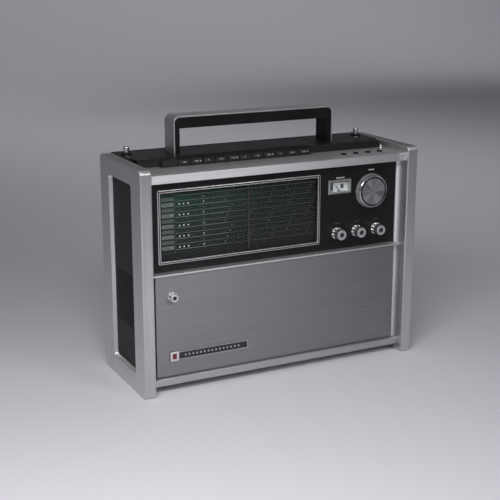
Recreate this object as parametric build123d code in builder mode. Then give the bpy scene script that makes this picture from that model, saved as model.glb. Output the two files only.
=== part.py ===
"""Large portable multi-band radio: metal end frames, dial panel, front door, pull-up handle.

Millimetres, +Z up, +X to the right seen from the front, front of the set towards -Y.
Origin: floor level, centre of the cabinet.
"""
import math
import os

from build123d import *

os.makedirs("parts", exist_ok=True)

# ---------------------------------------------------------------- overall sizes
width = 386.0            # over the end frames
depth = 137.2            # front to back of the end frames
height = 281.5           # floor to the top of the end frames
frame_t = 14.8           # thickness of an end frame
floor_gap = 10.0         # floor to the underside of the cabinet
handle_top = 328.5       # top of the handle, pulled up

# ---------------------------------------------------------------- fits
seat = 0.05              # gap between pieces fixed together
run = 0.05               # radial running clearance of a shaft in its bearing
slide = 0.35             # side clearance round keys, buttons and handle legs

# ---------------------------------------------------------------- levels and planes
half_w = width / 2
half_d = depth / 2
inner_x = half_w - frame_t
in_x = inner_x - seat                     # reach of everything held between the frames
front = -half_d
rail_front = front + 10.0                 # face of the top rail, ledge and bottom rail
door_front = rail_front + 5.0
trim_front = front + 20.0
panel_front = front + 21.6
panel_t = 3.0
panel_back = panel_front + panel_t
door_t = 4.8
inner_front = front + 28.6                # panel behind the door
rail_top = height - 9.2                   # bright strip on top of the cabinet
rail_h = 10.3
rail_bottom = rail_top - rail_h
deck_top = height + 0.5                   # black top
deck_front = front + 62.0
deck_rear = half_d - 2.0
sheet = 2.0
bottom_rail_top = floor_gap + 9.0
ledge_top = 151.2
ledge_t = 2.0
trim_w = 3.7

# ---------------------------------------------------------------- dial
window_left = -inner_x + 14.2
window_w = 223.0
window_low = ledge_top + 9.8
window_h = 91.0
bezel_w = 3.3
bezel_proud = 2.0
window_x = window_left + window_w / 2
window_z = window_low + window_h / 2
glass_t = 1.95
scale_front = panel_front + 7.5
scale_t = 1.5
pointer_y = panel_front + 4.8

# ---------------------------------------------------------------- tuning drive
tune_x = inner_x - 42.5
tune_z = ledge_top + 72.9
tune_r = 21.2
tune_h = 7.1
shaft_r = 3.0
spool_r = 4.0
drum_r = 54.0
drum_rim = 1.5
drum_x = window_x + 12.5
drum_z = rail_bottom - drum_r - 2.0
cord_r = 0.4
cord_y = panel_front + 12.5
guide_r = 4.6
guide_z = rail_bottom - 1.5
guide_left_x = window_left + 6.0
guide_right_x = window_left + window_w + 21.0
chassis_front = cord_y + 4.0
chassis_t = 1.5
cord_top = guide_z + guide_r + cord_r + seat

# ---------------------------------------------------------------- small controls
knob_r = 7.8
knob_face_r = 6.5
knob_h = 13.2
knob_pitch = 29.9
knob_x0 = inner_x - 93.2
knob_z = ledge_top + 21.5
meter_x = inner_x - 90.2
meter_z = ledge_top + 82.6
meter_w = 34.0
meter_h = 18.5
button_r = 3.4
button_pitch = 18.2
button_x0 = inner_x - 78.2
button_y = rail_front + 22.0
light_x = inner_x - 11.2
light_y = deck_front - 14.0
light_r = 1.8

# ---------------------------------------------------------------- band keys
key_count = 11
key_pitch = 16.8
key_w = 16.0
key_mid_x = -29.2
lead_block = 20.0         # fixed block at the left of the keys
key_front = deck_front - 7.6
key_rear = deck_front + 9.2
well_wall = 1.2
well_floor = rail_top - 2.7
key_drop = 3.0

# ---------------------------------------------------------------- handle
handle_half = 114.0
handle_leg = 8.0
handle_skin = 1.6
handle_depth = 29.0
handle_y = half_d - 37.7
handle_bar = 15.2
handle_round = 8.0
leg_bottom = deck_top - 44.0

# ---------------------------------------------------------------- aerials
aerial_x = inner_x - 11.2
aerial_y = half_d - 26.4
aerial_rod_r = 1.6
aerial_mid_r = 2.6
aerial_tube_r = 3.6
aerial_foot = 45.0

# ---------------------------------------------------------------- ends and speakers
end_window_w = 76.2
end_window_low = 24.0
end_window_top = height - 21.5
end_rebate = 4.0
end_recess = 5.0
end_bevel = 2.0
end_bevel_deep = 4.4
grille_t = 2.5
speaker_z = 110.0
speaker_r = 40.0


# ---------------------------------------------------------------- shape helpers
def block(x0, x1, y0, y1, z0, z1, mode=Mode.ADD):
    """Box given by its six faces."""
    with Locations(((x0 + x1) / 2, (y0 + y1) / 2, (z0 + z1) / 2)):
        Box(x1 - x0, y1 - y0, z1 - z0, mode=mode)


def upright(x, y, z0, z1, r, mode=Mode.ADD):
    """Cylinder standing along Z."""
    with Locations((x, y, (z0 + z1) / 2)):
        Cylinder(r, z1 - z0, mode=mode)


def lengthways(x, z, y0, y1, r, mode=Mode.ADD):
    """Cylinder lying along Y."""
    with Locations((x, (y0 + y1) / 2, z)):
        Cylinder(r, y1 - y0, rotation=(90, 0, 0), mode=mode)


def sideways(y, z, x0, x1, r, mode=Mode.ADD):
    """Cylinder lying along X."""
    with Locations(((x0 + x1) / 2, y, z)):
        Cylinder(r, x1 - x0, rotation=(0, 90, 0), mode=mode)


def save(builder, name):
    """Label a finished sub-part and write it out."""
    builder.part.label = name
    export_step(builder.part, "parts/" + name + ".step")


# ---------------------------------------------------------------- end frames
def make_end_frame(side):
    """Cast end frame with a window and, inside, a rebate for the grille panel."""
    outer = side * half_w
    window_h_end = end_window_top - end_window_low
    window_mid = (end_window_top + end_window_low) / 2
    shoulder = side * (half_w - end_recess)
    with BuildPart() as frame:
        with BuildSketch(Plane.YZ.offset(min(outer, side * inner_x))):
            with Locations((0, height / 2)):
                RectangleRounded(depth, height, 6.0)
            with Locations((0, window_mid)):
                RectangleRounded(end_window_w - 2 * end_bevel, window_h_end - 2 * end_bevel, 2.0,
                                 mode=Mode.SUBTRACT)
        extrude(amount=frame_t)
        with BuildSketch(Plane.YZ.offset(outer)):
            with Locations((0, window_mid)):
                RectangleRounded(end_window_w, window_h_end, 4.0)
        extrude(amount=-side * end_bevel_deep, mode=Mode.SUBTRACT,
                taper=math.degrees(math.atan2(end_bevel, end_bevel_deep)))
        fillet(frame.faces().sort_by(Axis.X)[0].outer_wire().edges(), 1.6)
        fillet(frame.faces().sort_by(Axis.X)[-1].outer_wire().edges(), 1.6)
        block(min(side * inner_x - side, shoulder), max(side * inner_x - side, shoulder),
              -end_window_w / 2 - end_rebate, end_window_w / 2 + end_rebate,
              end_window_low - end_rebate, end_window_top + end_rebate, Mode.SUBTRACT)
    return frame


def make_end_grille(side):
    """Slotted panel set into the end frame in front of the speaker."""
    a = side * (half_w - end_recess - seat)
    b = a - side * grille_t
    y1 = end_window_w / 2 + end_rebate - seat
    z0 = end_window_low - end_rebate + seat
    z1 = end_window_top + end_rebate - seat
    slots = 19
    slot_pitch = 3.6
    with BuildPart() as grille:
        block(min(a, b), max(a, b), -y1, y1, z0, z1)
        for i in range(slots):
            z = speaker_z + slot_pitch * (i - (slots - 1) / 2)
            block(min(a, b) - 1, max(a, b) + 1, -30, 30, z - 0.8, z + 0.8, Mode.SUBTRACT)
    return grille


end_frame_left = make_end_frame(-1)
end_frame_right = make_end_frame(1)
end_grille_left = make_end_grille(-1)
end_grille_right = make_end_grille(1)

# ---------------------------------------------------------------- top rail
key_half = key_pitch * key_count / 2
well_x0 = key_mid_x - key_half - lead_block - well_wall
well_x1 = key_mid_x + key_half + well_wall
well_y0 = key_front - well_wall
well_y1 = key_rear + well_wall
button_xs = [button_x0 + button_pitch * i for i in range(4)]

with BuildPart() as top_rail:
    block(-in_x, in_x, rail_front, deck_front - seat, rail_top - sheet, rail_top)
    block(-in_x, in_x, rail_front, rail_front + sheet, rail_bottom, rail_top - sheet)
    block(-in_x, in_x, rail_front + sheet, panel_back, rail_bottom, rail_bottom + 1.5)
    block(well_x0 - seat, well_x1 + seat, well_y0 - seat, deck_front + 1,
          rail_top - sheet - 1, rail_top + 1, Mode.SUBTRACT)
    for x in button_xs:
        upright(x, button_y, rail_top - 5, rail_top + 1, button_r + slide, Mode.SUBTRACT)
    upright(light_x, light_y, rail_top - 5, rail_top + 1, light_r + slide, Mode.SUBTRACT)
    chamfer(top_rail.edges().filter_by(Axis.X).filter_by_position(
        Axis.Z, rail_top - 0.01, rail_top + 0.01).sort_by(Axis.Y)[0], 0.6)

# ---------------------------------------------------------------- base tray with the bottom rail
hinge_x = 167.0 * inner_x / 178.2
hinge_y = door_front + door_t / 2
pin_r = 1.5

with BuildPart() as base_tray:
    block(-in_x, in_x, rail_front, deck_rear, floor_gap, floor_gap + sheet)
    block(-in_x, in_x, rail_front, rail_front + sheet, floor_gap, bottom_rail_top)
    block(-in_x, in_x, rail_front, inner_front - seat, bottom_rail_top - 1.6, bottom_rail_top)
    upright(hinge_x, hinge_y, bottom_rail_top - 3, bottom_rail_top + 1, pin_r + run, Mode.SUBTRACT)
    chamfer(base_tray.edges().filter_by(Axis.X).filter_by_position(
        Axis.Z, bottom_rail_top - 0.01, bottom_rail_top + 0.01).sort_by(Axis.Y)[0], 0.6)

# ---------------------------------------------------------------- ledge between dial and door
trim_in = in_x - trim_w
with BuildPart() as divider_ledge:
    block(-in_x, in_x, rail_front, trim_front - seat, ledge_top - ledge_t, ledge_top)
    block(-trim_in + seat, trim_in - seat, trim_front - seat, panel_front - seat,
          ledge_top - ledge_t, ledge_top)
    upright(hinge_x, hinge_y, ledge_top - 3, ledge_top + 1, pin_r + run, Mode.SUBTRACT)


# ---------------------------------------------------------------- bright strips beside the panel
def make_side_trim(side):
    """Bright upright strip between the panels and the end frame."""
    a = side * in_x
    b = side * trim_in
    with BuildPart() as trim:
        block(min(a, b), max(a, b), trim_front, inner_front - seat,
              bottom_rail_top + seat, rail_bottom - seat)
    return trim


side_trim_left = make_side_trim(-1)
side_trim_right = make_side_trim(1)

# ---------------------------------------------------------------- dial panel
open_w = window_w - 2 * bezel_w
open_h = window_h - 2 * bezel_w
glass_w = open_w + 1.0
glass_h = open_h + 1.0
knob_xs = [knob_x0 + knob_pitch * i for i in range(3)]
meter_body_w = meter_w - 3.2
meter_body_h = meter_h - 3.1
bush_r = 3.5
panel_low = ledge_top - ledge_t

with BuildPart() as dial_panel:
    block(-trim_in + seat, trim_in - seat, panel_front, panel_back, panel_low, rail_bottom - seat)
    block(window_x - glass_w / 2 - seat, window_x + glass_w / 2 + seat, panel_front - 1,
          panel_back + 1, window_z - glass_h / 2 - seat, window_z + glass_h / 2 + seat,
          Mode.SUBTRACT)
    block(meter_x - meter_body_w / 2 - seat, meter_x + meter_body_w / 2 + seat, panel_front - 1,
          panel_back + 1, meter_z - meter_body_h / 2 - seat, meter_z + meter_body_h / 2 + seat,
          Mode.SUBTRACT)
    for x in knob_xs:
        lengthways(x, knob_z, panel_front - 1, panel_back + 1, bush_r + seat, Mode.SUBTRACT)
    lengthways(tune_x, tune_z, panel_front - 1, panel_back + 1, shaft_r + run, Mode.SUBTRACT)

with BuildPart() as dial_bezel:
    with BuildSketch(Plane.XZ.offset(-(panel_front - seat))):
        with Locations((window_x, window_z)):
            RectangleRounded(window_w, window_h, 2.0)
            RectangleRounded(open_w, open_h, 1.0, mode=Mode.SUBTRACT)
    extrude(amount=bezel_proud)
    chamfer(dial_bezel.faces().sort_by(Axis.Y)[0].outer_wire().edges(), 0.4)
    with BuildSketch(Plane.XZ.offset(-(panel_front - seat - bezel_proud + 0.8))):
        with Locations((window_x, window_z)):
            RectangleRounded(window_w - 2.8, window_h - 2.8, 1.6)
            RectangleRounded(window_w - 4.8, window_h - 4.8, 1.2, mode=Mode.SUBTRACT)
    extrude(amount=2, mode=Mode.SUBTRACT)

with BuildPart() as dial_glass:
    block(window_x - glass_w / 2, window_x + glass_w / 2, panel_front, panel_front + glass_t,
          window_z - glass_h / 2, window_z + glass_h / 2)

scale_x0 = window_x - glass_w / 2 - 9.0
scale_x1 = window_x + glass_w / 2 + 9.0
scale_z0 = window_z - glass_h / 2 - 6.0
scale_z1 = rail_bottom - 4.0
post_xs = (scale_x0 + 12.0, scale_x1 - 6.0)
post_zs = (scale_z0 + 6.0, scale_z1 - 12.0)

with BuildPart() as dial_scale:
    block(scale_x0, scale_x1, scale_front, scale_front + scale_t, scale_z0, scale_z1)

# ---------------------------------------------------------------- tuning and level meter
meter_face = panel_front + 2.4
meter_open_w = meter_w - 5.6
meter_open_h = meter_h - 4.7
meter_pivot_z = meter_z - 5.0
needle_pin_r = 0.4
needle_len = 10.0
needle_rest = 38.0

with BuildPart() as meter_case:
    block(meter_x - meter_w / 2, meter_x + meter_w / 2, panel_front - 2.4, panel_front - seat,
          meter_z - meter_h / 2, meter_z + meter_h / 2)
    chamfer(meter_case.faces().sort_by(Axis.Y)[0].outer_wire().edges(), 0.7)
    block(meter_x - meter_body_w / 2, meter_x + meter_body_w / 2, panel_front - 0.1,
          panel_front + 10.0, meter_z - meter_body_h / 2, meter_z + meter_body_h / 2)
    block(meter_x - meter_open_w / 2, meter_x + meter_open_w / 2, panel_front - 3, meter_face,
          meter_z - meter_open_h / 2, meter_z + meter_open_h / 2, Mode.SUBTRACT)
    lengthways(meter_x, meter_pivot_z, meter_face - 1.5, meter_face + 0.5, needle_pin_r)

with BuildPart() as meter_glass:
    block(meter_x - meter_open_w / 2 + seat, meter_x + meter_open_w / 2 - seat,
          panel_front - 2.0, panel_front - 1.0,
          meter_z - meter_open_h / 2 + seat, meter_z + meter_open_h / 2 - seat)

with BuildPart() as meter_needle:
    with BuildSketch(Plane.XZ.offset(-(meter_face - 0.7))):
        with Locations((meter_x, meter_pivot_z)):
            Circle(1.3)
            with Locations(Rotation(0, 0, needle_rest)):
                with Locations((0, needle_len / 2)):
                    Rectangle(0.6, needle_len)
            Circle(needle_pin_r + run, mode=Mode.SUBTRACT)
    extrude(amount=0.6)

# ---------------------------------------------------------------- black top with the key well
slot_x0 = handle_half - handle_leg - slide
slot_x1 = handle_half + slide
slot_y0 = handle_y - handle_depth / 2 - slide
slot_y1 = handle_y + handle_depth / 2 + slide
skin = 2.5
end_notch = inner_x - 6.4                 # the raised top stops short of the end frames in front
key_xs = [key_mid_x + key_pitch * (i - (key_count - 1) / 2) for i in range(key_count)]
stem_w = 6.0
stem_d = 3.0
stem_y = (key_front + key_rear) / 2

with BuildPart() as deck:
    block(-in_x, in_x, deck_front, deck_rear, rail_top - sheet, deck_top)
    chamfer(deck.edges().filter_by(Axis.X).filter_by_position(
        Axis.Z, deck_top - 0.01, deck_top + 0.01).sort_by(Axis.Y)[0], 1.0)
    block(-in_x + skin, in_x - skin, deck_front + skin, deck_rear - skin,
          rail_top - sheet - 1, deck_top - skin, Mode.SUBTRACT)
    block(well_x0, well_x1, well_y0, well_y1, well_floor - 1.6, deck_top - skin)
    block(well_x0, well_x1, well_y0 - 1, deck_front, rail_top + 0.6, deck_top, Mode.SUBTRACT)
    for side in (-1, 1):
        block(min(side * end_notch, side * half_w), max(side * end_notch, side * half_w),
              deck_front - 1, deck_front + 15.0, rail_top, deck_top + 1, Mode.SUBTRACT)
    block(well_x0 + well_wall, well_x1 - well_wall, key_front, key_rear,
          well_floor, deck_top + 1, Mode.SUBTRACT)
    with BuildSketch(Plane.YZ.offset(well_x0 + well_wall / 2)):
        with BuildLine():
            Polyline((key_front, well_floor - 0.5), (key_front + 1.8, deck_top - 2.2),
                     (key_rear + 0.5, deck_top - 0.4), (key_rear + 0.5, well_floor - 0.5), close=True)
        make_face()
    extrude(amount=lead_block + well_wall / 2 - 0.4)
    for x in key_xs:
        block(x - stem_w / 2 - slide, x + stem_w / 2 + slide, stem_y - stem_d / 2 - slide,
              stem_y + stem_d / 2 + slide, well_floor - 4, well_floor + 1, Mode.SUBTRACT)
    for side in (-1, 1):
        block(min(side * slot_x0, side * slot_x1), max(side * slot_x0, side * slot_x1),
              slot_y0, slot_y1, deck_top - 12, deck_top + 1, Mode.SUBTRACT)
        upright(side * aerial_x, aerial_y, deck_top - 12, deck_top + 1,
                aerial_tube_r + seat, Mode.SUBTRACT)


def make_key(x):
    """One band key: sloping cap on a flat stem."""
    x0 = x - key_w / 2
    low = well_floor + key_drop + 0.4
    back = key_rear - slide
    fore = key_front + slide
    with BuildPart() as key:
        with BuildSketch(Plane.YZ.offset(x0)):
            with BuildLine():
                Polyline((fore, low), (fore + 1.8, deck_top - 2.2), (back, deck_top - 0.4),
                         (back, low), close=True)
            make_face()
        extrude(amount=key_w)
        block(x - stem_w / 2, x + stem_w / 2, stem_y - stem_d / 2, stem_y + stem_d / 2,
              well_floor - 7.0, low + 1.0)
    return key


band_keys = [make_key(x) for x in key_xs]


# ---------------------------------------------------------------- buttons on the bright strip
def make_button(x):
    """Round push button with a collar under the strip."""
    with BuildPart() as button:
        upright(x, button_y, rail_top - 3.6, rail_top + 2.0, button_r)
        chamfer(button.faces().sort_by(Axis.Z)[-1].edges(), 0.5)
        upright(x, button_y, rail_top - 5.4, rail_top - sheet - 0.4, button_r + 0.9)
    return button


function_buttons = [make_button(x) for x in button_xs]

with BuildPart() as light_button:
    upright(light_x, light_y, rail_top - 3.6, rail_top + 6.5, light_r)
    fillet(light_button.faces().sort_by(Axis.Z)[-1].edges(), 0.8)
    upright(light_x, light_y, rail_top - 6.0, rail_top - sheet - 0.4, light_r + 0.9)

# ---------------------------------------------------------------- panel behind the door
flange_x = trim_in - seat
with BuildPart() as inner_panel:
    block(-in_x, in_x, inner_front, inner_front + 2.5, floor_gap + sheet + seat,
          ledge_top - ledge_t - 0.2)
    block(-flange_x, flange_x, panel_front + 1.6, inner_front, ledge_top - ledge_t - 1.6,
          ledge_top - ledge_t - seat)
    block(-126, 34, inner_front - 1.2, inner_front, 40, 128)
    block(-60, -32, inner_front - 2.0, inner_front + 1.3, 118, 123)
    block(54, 150, inner_front - 1.0, inner_front, 52, 116)
    block(-flange_x + 9, -flange_x + 16, door_front + 3.0, inner_front, 100, 112)

# ---------------------------------------------------------------- rear cover and screws
rear_front = deck_rear - 3.0
rear_low = floor_gap + sheet + seat
rear_high = rail_top - sheet - seat
screw_xs = (-inner_x + 12.0, 0.0, inner_x - 12.0)
screw_zs = (rear_low + 10.0, rear_high - 10.0)

with BuildPart() as rear_cover:
    block(-in_x, in_x, rear_front, deck_rear, rear_low, rear_high)
    with Locations((0, deck_rear, 205)):
        with GridLocations(12.0, 0, 20, 1):
            Box(4.0, 8.0, 70.0, mode=Mode.SUBTRACT)
    block(-inner_x + 26, -inner_x + 60, deck_rear - 1.6, deck_rear + 1, 34, 58, Mode.SUBTRACT)
    block(-40, 130, deck_rear - 0.8, deck_rear + 1, 34, 110, Mode.SUBTRACT)
    for i in range(3):
        lengthways(-inner_x + 34 + 22 * i, 90, rear_front - 1, deck_rear + 1, 3.0, Mode.SUBTRACT)
    for x in screw_xs:
        for z in screw_zs:
            lengthways(x, z, rear_front - 1, deck_rear + 1, 1.6, Mode.SUBTRACT)

with BuildPart() as case_screws:
    for x in screw_xs:
        for z in screw_zs:
            lengthways(x, z, deck_rear + seat, deck_rear + 1.7, 3.4)
            lengthways(x, z, rear_front - 3.0, deck_rear + 0.5, 1.5)
            block(x - 2.6, x + 2.6, deck_rear + 1.1, deck_rear + 2.0, z - 0.4, z + 0.4,
                  Mode.SUBTRACT)

# ---------------------------------------------------------------- chassis plate and guide posts
chassis_back = chassis_front + chassis_t
gang_half = 30.0

with BuildPart() as chassis:
    block(-in_x, in_x, chassis_front, chassis_back, ledge_top + 1, rail_top - sheet - 2)
    for x in (guide_left_x, guide_right_x):
        lengthways(x, guide_z, cord_y - 2.4, chassis_front, guide_r)
        lengthways(x, guide_z, cord_y - 2.4, cord_y - 1.2, guide_r + 1.4)
        lengthways(x, guide_z, cord_y + 1.2, chassis_front, guide_r + 1.4)
    for x in post_xs:
        for z in post_zs:
            lengthways(x, z, scale_front + scale_t + seat, chassis_front, 3.0)
    lengthways(tune_x, tune_z, chassis_front - 1, chassis_back + 1, shaft_r + run, Mode.SUBTRACT)
    lengthways(drum_x, drum_z, chassis_front - 1, chassis_back + 1, shaft_r + 0.6, Mode.SUBTRACT)

with BuildPart() as tuning_gang:
    block(drum_x - gang_half, drum_x + gang_half, chassis_back + seat, chassis_back + 45,
          drum_z - 21, drum_z + 24)
    lengthways(drum_x, drum_z, chassis_back - 1, chassis_back + 14, shaft_r + run, Mode.SUBTRACT)
    for i in range(6):
        y = chassis_back + 17 + 4.4 * i
        block(drum_x - gang_half + 4, drum_x + gang_half - 4, y, y + 2.4, drum_z - 4, drum_z + 25,
              Mode.SUBTRACT)

# ---------------------------------------------------------------- tuning knob, shaft and drum
knob_back = panel_front - 0.5
tune_face = knob_back - tune_h
shaft_tip = tune_face + 2.6

with BuildPart() as tuning_knob:
    lengthways(tune_x, tune_z, tune_face, knob_back, tune_r)
    for y, r in ((tune_face + 2.6, tune_r), (knob_back, tune_r + 1.6)):
        with BuildSketch(Plane.XZ.offset(-y)):
            with Locations((tune_x, tune_z)):
                Circle(r)
    loft()
    chamfer(tuning_knob.faces().sort_by(Axis.Y)[0].edges(), 0.9)
    with BuildSketch(Plane.XZ.offset(-(tune_face + 0.8))):
        with Locations((tune_x, tune_z)):
            Circle(tune_r - 2.3)
            Circle(tune_r - 3.5, mode=Mode.SUBTRACT)
    extrude(amount=2, mode=Mode.SUBTRACT)
    lengthways(tune_x, tune_z, shaft_tip, knob_back + 1, shaft_r + seat, Mode.SUBTRACT)

with BuildPart() as tuning_shaft:
    lengthways(tune_x, tune_z, shaft_tip + seat, chassis_back + 3, shaft_r)
    lengthways(tune_x, tune_z, cord_y - 2.2, cord_y + 2.2, spool_r)

with BuildPart() as dial_drum:
    lengthways(drum_x, drum_z, cord_y - 2.0, cord_y + 2.0, drum_r)
    for y in (cord_y - 2.0, cord_y + 0.9):
        lengthways(drum_x, drum_z, y, y + 1.1, drum_r + drum_rim)
    with Locations((drum_x, cord_y, drum_z)):
        with Locations(Rotation(90, 0, 0)):
            with PolarLocations(drum_r * 0.6, 5):
                Cylinder(drum_r * 0.24, 10, mode=Mode.SUBTRACT)
    lengthways(drum_x, drum_z, cord_y, chassis_back + 12, shaft_r)

# ---------------------------------------------------------------- dial cord round posts, spool and drum
wrap = cord_r + seat
turns = (
    (guide_left_x, guide_z, guide_r + wrap),
    (guide_right_x, guide_z, guide_r + wrap),
    (tune_x, tune_z, spool_r + wrap),
    (drum_x, drum_z, drum_r + wrap),
)


def outer_tangent(a, b):
    """Straight run of the cord from one wheel to the next, going round clockwise."""
    dx = b[0] - a[0]
    dz = b[1] - a[1]
    length = math.hypot(dx, dz)
    heading = math.atan2(dz, dx)
    lean = math.asin((a[2] - b[2]) / length)
    nx = math.cos(heading + math.pi / 2 - lean)
    nz = math.sin(heading + math.pi / 2 - lean)
    start = (a[0] + a[2] * nx, a[1] + a[2] * nz)
    end = (b[0] + b[2] * nx, b[1] + b[2] * nz)
    return start, end


runs = [outer_tangent(turns[i], turns[(i + 1) % 4]) for i in range(4)]

with BuildPart() as dial_cord:
    with BuildLine(Plane.XZ.offset(-cord_y)) as route:
        for i in range(4):
            here = runs[i]
            after = runs[(i + 1) % 4]
            wheel = turns[(i + 1) % 4]
            Line(here[0], here[1])
            a0 = math.atan2(here[1][1] - wheel[1], here[1][0] - wheel[0])
            a1 = math.atan2(after[0][1] - wheel[1], after[0][0] - wheel[0])
            sweep_angle = (a0 - a1) % (2 * math.pi)
            mid = a0 - sweep_angle / 2
            mid_point = (wheel[0] + wheel[2] * math.cos(mid), wheel[1] + wheel[2] * math.sin(mid))
            ThreePointArc(here[1], mid_point, after[0])
    with BuildSketch(Plane(origin=route.wire() @ 0, z_dir=route.wire() % 0)):
        Circle(cord_r)
    sweep(path=route.wire(), transition=Transition.ROUND)

# ---------------------------------------------------------------- dial pointer
pointer_low = window_z - open_h / 2 + 3.0
arm_low = drum_z + drum_r + drum_rim + 0.8
with BuildPart() as dial_pointer:
    block(drum_x - 0.6, drum_x + 0.6, pointer_y - 0.4, pointer_y + 0.4, pointer_low, arm_low + 1.2)
    block(drum_x - 4, drum_x + 4, pointer_y - 0.4, cord_y + 1.3, arm_low, arm_low + 1.2)
    block(drum_x - 4, drum_x + 4, cord_y - 1.3, cord_y + 1.3, arm_low, cord_top + 1.4)
    sideways(cord_y, cord_top, drum_x - 6, drum_x + 6, cord_r + 0.3, Mode.SUBTRACT)

# ---------------------------------------------------------------- three level controls on one bracket
pot_r = 8.5
pot_back = panel_back + 10.5
with BuildPart() as control_pots:
    for x in knob_xs:
        lengthways(x, knob_z, panel_back + seat, pot_back, pot_r)
        lengthways(x, knob_z, panel_front - 0.4, panel_back + 1, bush_r)
    block(knob_xs[0] - 12, knob_xs[2] + 12, pot_back - 1.5, pot_back, knob_z - 12, knob_z + 12)
    for x in knob_xs:
        lengthways(x, knob_z, panel_front - 1, panel_back + 6, shaft_r - 0.5 + run, Mode.SUBTRACT)


def tapered_knob(x, z, face, back, r_face, r_back, flutes, flute_r):
    """Fluted knob that narrows towards its face, with a shallow recess for the cap."""
    with Locations((x, (face + back) / 2, z)):
        Cone(r_back, r_face, back - face, rotation=(90, 0, 0))
    with Locations((x, (face + back) / 2, z)):
        with Locations(Rotation(90, 0, 0)):
            with PolarLocations(r_back - 0.3, flutes):
                Cylinder(flute_r, back - face - 1.6, mode=Mode.SUBTRACT)
    lengthways(x, z, face - 0.1, face + 0.8, 0.42 * r_face, Mode.SUBTRACT)


def make_level_knob(x):
    """Level knob with the control's own shaft."""
    back = panel_front - 0.8
    with BuildPart() as knob:
        tapered_knob(x, knob_z, back - knob_h, back, knob_face_r, knob_r, 10, 1.5)
        lengthways(x, knob_z, back - 1, panel_back + 5, shaft_r - 0.5)
    return knob


volume_knob = make_level_knob(knob_xs[0])
bass_knob = make_level_knob(knob_xs[1])
treble_knob = make_level_knob(knob_xs[2])

# ---------------------------------------------------------------- front door
door_x = inner_x - 7.2
door_low = bottom_rail_top + 0.6
door_high = ledge_top - ledge_t - 0.7
door_back = door_front + door_t
door_skin = 1.6
pull_x = -inner_x + 29.0
pull_z = ledge_top - 29.9

with BuildPart() as door:
    block(-door_x, door_x, door_front, door_back, door_low, door_high)
    chamfer(door.faces().sort_by(Axis.Y)[0].edges(), 0.4)
    block(-door_x + door_skin, door_x - door_skin, door_front + door_skin, door_back + 1,
          door_low + door_skin, door_high - door_skin, Mode.SUBTRACT)
    for z0, z1 in ((door_low, door_low + 7), (door_high - 7, door_high)):
        block(hinge_x - 3, hinge_x + 3, door_front + 1, door_back, z0, z1)
    upright(hinge_x, hinge_y, bottom_rail_top - 2.6, door_low + 1, pin_r)
    upright(hinge_x, hinge_y, door_high - 1, ledge_top - 0.3, pin_r)

with BuildPart() as door_knob:
    tapered_knob(pull_x, pull_z, door_front - 8.0, door_front - seat, 4.8, 6.1, 8, 1.2)

badge_x0 = -inner_x + 24.3
badge_z = 44.8
with BuildPart() as door_badge:
    block(badge_x0, badge_x0 + 106.3, door_front - 1.0, door_front - seat, badge_z - 5.0,
          badge_z + 5.0)
    block(badge_x0, badge_x0 + 11.5, door_front - 1.4, door_front - seat, badge_z - 6.2,
          badge_z + 6.2)

# ---------------------------------------------------------------- pull-up handle
handle_back = handle_y + handle_depth / 2
hull_h = handle_top - leg_bottom
hull_mid = (handle_top + leg_bottom) / 2
with BuildPart() as handle_shell:
    with BuildSketch(Plane.XZ.offset(-handle_back)):
        with Locations((0, hull_mid)):
            Rectangle(2 * handle_half, hull_h)
        fillet(vertices().group_by(Axis.Y)[-1], handle_round)
    extrude(amount=handle_depth)
    with BuildSketch(Plane.XZ.offset(-handle_back - 1)):
        with Locations((0, hull_mid - handle_skin)):
            Rectangle(2 * (handle_half - handle_skin), hull_h)
        fillet(vertices().group_by(Axis.Y)[-1], handle_round - handle_skin)
    extrude(amount=handle_depth + 2, mode=Mode.SUBTRACT)

with BuildPart() as handle_grip:
    with BuildSketch(Plane.XZ.offset(-handle_back)):
        with Locations((0, hull_mid - handle_skin / 2 - seat / 2)):
            Rectangle(2 * (handle_half - handle_skin - seat), hull_h - handle_skin - seat)
        fillet(vertices().group_by(Axis.Y)[-1], handle_round - handle_skin - seat)
        with Locations((0, hull_mid - handle_bar)):
            Rectangle(2 * (handle_half - handle_leg), hull_h, mode=Mode.SUBTRACT)
    extrude(amount=handle_depth)


# ---------------------------------------------------------------- telescopic aerials
def make_aerial(side):
    """Fixed tube with its bush, middle tube and tipped rod."""
    x = side * aerial_x
    top = deck_top + 2.4
    with BuildPart() as tube:
        upright(x, aerial_y, aerial_foot, deck_top + seat + 0.1, aerial_tube_r)
        upright(x, aerial_y, deck_top + seat, top, 6.5)
        chamfer(tube.faces().sort_by(Axis.Z)[-1].edges(), 0.7)
        upright(x, aerial_y, aerial_foot + 1.5, top + 1, aerial_mid_r + run, Mode.SUBTRACT)
    with BuildPart() as mid:
        upright(x, aerial_y, aerial_foot + 2.0, top + 0.4, aerial_mid_r)
        upright(x, aerial_y, aerial_foot + 3.2, top + 1, aerial_rod_r + run, Mode.SUBTRACT)
    with BuildPart() as rod:
        upright(x, aerial_y, aerial_foot + 3.7, top + 1.2, aerial_rod_r)
        upright(x, aerial_y, top + 0.9, top + 7.6, 3.8)
        fillet(rod.faces().sort_by(Axis.Z)[-1].edges(), 1.6)
    return tube, mid, rod


antenna_tube_left, antenna_mid_left, antenna_rod_left = make_aerial(-1)
antenna_tube_right, antenna_mid_right, antenna_rod_right = make_aerial(1)


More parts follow.
